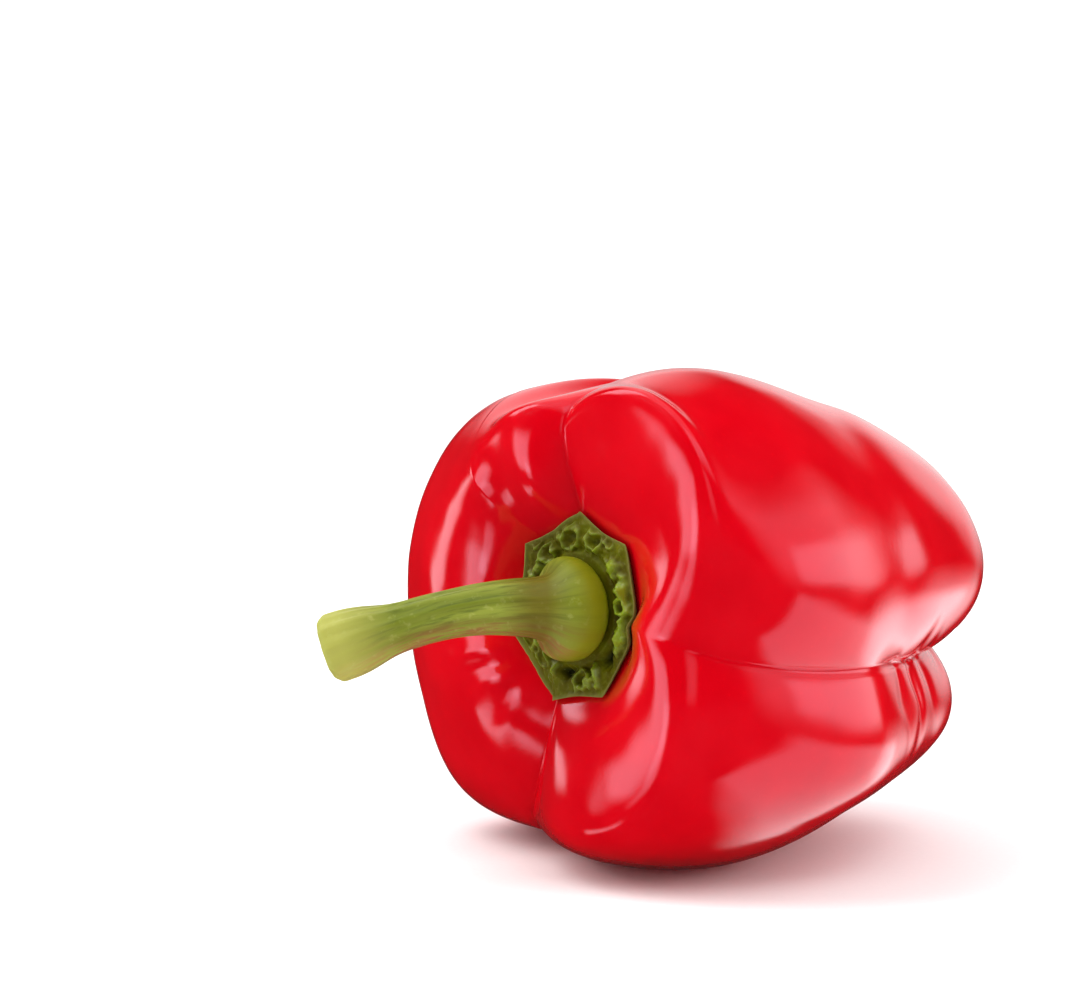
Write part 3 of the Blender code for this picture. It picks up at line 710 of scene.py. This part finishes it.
# Partly the stalk's own ochre, partly painted shade: the hollow between the ring and the shaft is
# darkened.
hollow = add_node(tree, "ShaderNodeMath", {"operation": "MULTIPLY"}, None,
                  {0: spread(tree, marks["along"], 4.0, 6.5),
                   1: spread(tree, marks["along"], 13.0, 8.0)}).outputs[0]
green = colour_mix(tree, spread(tree, hollow, 0.0, 1.0, 0.0, 0.7), green, "#5C4C08")
green = colour_mix(tree, spread(tree, marks["along"], 4.9, 2.8, 0.0, 0.8), green, "#7A7C04")
pith = colour_mix(tree, spread(tree, marks["from_pith"], 0.55, 0.95), "#CFC98E", "#9A8A5A")
pith = colour_mix(tree, spread(tree, mottle, 0.45, 0.60), pith, "#B5AF6E")
green = colour_mix(tree, marks["cut_face"], green, pith)
tree.links.new(green, shader.inputs["Base Color"])
tree.links.new(spread(tree, strands, 0.3, 0.7, 0.38, 0.55), shader.inputs["Roughness"])
shader.inputs["IOR"].default_value = 1.42
shader.inputs["Specular IOR Level"].default_value = 0.16
shader.inputs["Subsurface Weight"].default_value = 0.12
shader.inputs["Subsurface Radius"].default_value = (0.8, 1.0, 0.3)
shader.inputs["Subsurface Scale"].default_value = 1.2 * MM
grain = add_node(tree, "ShaderNodeBump", {}, {"Strength": 0.5, "Distance": 0.10 * MM},
                 {"Height": strands})
tree.links.new(grain.outputs["Normal"], shader.inputs["Normal"])
stem.data.materials.append(stalk)
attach(stem, "root")
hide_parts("stem")

# ---------------------------------------------------------------- floor
# White paper sweep: matt, and lit until it is as white as the background.
FLOOR_SIDE = 8.0            # metres
PULP_SIZE = 1.11
bpy.ops.mesh.primitive_plane_add(size=FLOOR_SIDE, location=(0.0, 0.0, 0.0))
floor = bpy.context.object
floor.name = "studio_floor"
paper = bpy.data.materials.new("white_paper_sweep")
paper.use_nodes = True
tree = paper.node_tree
shader = tree.nodes["Principled BSDF"]
place = add_node(tree, "ShaderNodeTexCoord", {}).outputs["Object"]
pulp = add_node(tree, "ShaderNodeTexNoise", {}, {"Scale": pattern_scale(PULP_SIZE)},
                {"Vector": place}).outputs[0]
tree.links.new(colour_mix(tree, pulp, "#F1F0F0", "#F7F6F6"), shader.inputs["Base Color"])
shader.inputs["Roughness"].default_value = 0.75
floor.data.materials.append(paper)
floor.visible_glossy = False    # what the skin mirrors below is the light's bright table

# ---------------------------------------------------------------- light
# Soft studio light, all of it in the world: white panels far off round the pepper, each
# with soft edges, over a weak fill from all sides.  What the waxy skin mirrors is set
# apart from what lights it, and the camera sees a plain white room.
# Azimuth 0 looks along +Y.
WHITE_ROOM = 1.05           # what the camera sees round the pepper
FILL = 0.33                 # light from all sides
MIRRORED_ROOM = 0.02        # the dark room between the mirrored panels

# Name: azimuth, elevation, half width, half height and soft edge (tangents), brightness.
LIGHTS = {
    "key_box": (-40.0, 50.0, 0.22, 0.48, 0.06, 4.8),
    "ceiling": (-25.0, 78.0, 0.95, 0.55, 0.20, 1.0),
    "right_top": (50.0, 53.0, 0.45, 0.26, 0.10, 1.0),
    "left_wall": (-105.0, 24.0, 0.60, 0.60, 0.20, 1.0),
    "front_left": (-48.0, 10.0, 0.50, 0.45, 0.20, 1.2),
    "back_wall": (-150.0, 20.0, 1.20, 0.50, 0.20, 0.8),
    "right_wall": (118.0, 45.0, 0.60, 0.50, 0.20, 1.6),
    "window": (130.0, 13.0, 0.62, 0.42, 0.25, 1.3),
}
MIRRORED = {
    "high_box": (-66.0, 38.0, 0.15, 0.26, 0.06, 4.5),
    "front_box": (-30.0, 0.0, 0.24, 0.16, 0.07, 3.9),
    "front_foot": (-21.0, -9.0, 0.10, 0.12, 0.05, 2.8),
    "left_box": (-70.0, -2.0, 0.12, 0.09, 0.05, 3.3),
    "low_box": (-42.0, -31.0, 0.20, 0.06, 0.05, 3.0),
    "ceiling": (-25.0, 78.0, 0.95, 0.55, 0.20, 1.05),
    "right_top": (50.0, 53.0, 0.45, 0.26, 0.10, 1.2),
    "front": (29.0, 17.0, 0.13, 0.22, 0.08, 1.0),
    "left_top": (-120.0, 32.0, 0.26, 0.36, 0.12, 0.9),
    "window": (130.0, 15.0, 0.62, 0.36, 0.22, 1.3),
    "window_sill": (138.0, 4.0, 0.48, 0.16, 0.06, 2.2),
    "bright_table": (146.0, -42.0, 0.80, 0.50, 0.09, 2.2),
    "behind": (-132.0, 3.0, 0.16, 0.22, 0.10, 0.6),
    "white_back": (-156.0, 8.0, 0.28, 0.20, 0.12, 1.1),
    "table_back": (-179.0, -21.0, 0.24, 0.20, 0.12, 1.8),
}


def direction(azimuth, elevation):
    """Unit vector toward something that stands at azimuth and elevation, in degrees."""
    a, e = math.radians(azimuth), math.radians(elevation)
    return Vector((math.sin(a) * math.cos(e), -math.cos(a) * math.cos(e), math.sin(e)))


def calculate(tree, operation, first, second):
    """One sum on two values; each is a number or a socket."""
    node = add_node(tree, "ShaderNodeMath", {"operation": operation})
    for slot, value in enumerate((first, second)):
        if isinstance(value, (int, float)):
            node.inputs[slot].default_value = value
        else:
            tree.links.new(value, node.inputs[slot])
    return node.outputs[0]


def panel_light(tree, looking, azimuth, elevation, half_width, half_height, edge, bright):
    """Brightness that a flat panel adds in the direction looking."""
    centre = direction(azimuth, elevation)
    level = direction(azimuth + 90.0, 0.0)
    facing, sideways, above = (
        add_node(tree, "ShaderNodeVectorMath", {"operation": "DOT_PRODUCT"}, {1: axis},
                 {0: looking}).outputs["Value"]
        for axis in (centre, level, centre.cross(level)))
    ahead = calculate(tree, "MAXIMUM", facing, 0.001)
    light = spread(tree, facing, 0.02, 0.10, 0.0, bright)
    for offset, half in ((sideways, half_width), (above, half_height)):
        size = calculate(tree, "ABSOLUTE", calculate(tree, "DIVIDE", offset, ahead), 0.0)
        fade = spread(tree, size, half + edge, half - edge)
        fade.node.interpolation_type = "SMOOTHSTEP"
        light = calculate(tree, "MULTIPLY", light, fade)
    return light


world = bpy.data.worlds.new("studio")
bpy.context.scene.world = world
world.use_nodes = True
tree = world.node_tree
background = tree.nodes["Background"]
background.inputs["Color"].default_value = linear("#FFFFFF")
rays = add_node(tree, "ShaderNodeLightPath", {})
looking = add_node(tree, "ShaderNodeTexCoord", {}).outputs["Generated"]
lighting = FILL
for sizes in LIGHTS.values():
    lighting = calculate(tree, "ADD", lighting, panel_light(tree, looking, *sizes))
reflected = MIRRORED_ROOM
for sizes in MIRRORED.values():
    reflected = calculate(tree, "ADD", reflected, panel_light(tree, looking, *sizes))
studio = add_node(tree, "ShaderNodeMix", {"data_type": "FLOAT"}, None,
                  {0: rays.outputs["Is Glossy Ray"], 2: lighting, 3: reflected}).outputs[0]
seen = add_node(tree, "ShaderNodeMix", {"data_type": "FLOAT"}, {3: WHITE_ROOM},
                {0: rays.outputs["Is Camera Ray"], 2: studio}).outputs[0]
tree.links.new(seen, background.inputs["Strength"])

# ---------------------------------------------------------------- camera
# It looks past the stem from a little above.  Its aim is a point over the floor beneath
# the calyx seat, moved sideways and up across the view.
CAMERA_AZIMUTH = 48.42
CAMERA_PITCH = 6.05         # degrees it looks down
CAMERA_DISTANCE = 541.4     # millimetres from its aim
LENS = 107.02
SENSOR_WIDTH = 36.0
AIM_HEIGHT = 40.0
AIM_RIGHT, AIM_UP = -7.97, 25.35
camera_data = bpy.data.cameras.new("camera")
camera_data.sensor_width = SENSOR_WIDTH
camera_data.lens = LENS
camera = bpy.data.objects.new("camera", camera_data)
bpy.context.scene.collection.objects.link(camera)
back = direction(CAMERA_AZIMUTH, CAMERA_PITCH)
right = direction(CAMERA_AZIMUTH + 90.0, 0.0)
aim = Vector((seat[0], seat[1], AIM_HEIGHT * MM))
aim = aim + (right * AIM_RIGHT + back.cross(right) * AIM_UP) * MM
camera.location = aim + back * CAMERA_DISTANCE * MM
camera.rotation_euler = back.to_track_quat("Z", "Y").to_euler()
bpy.context.scene.camera = camera
bpy.context.scene.view_settings.view_transform = "Standard"
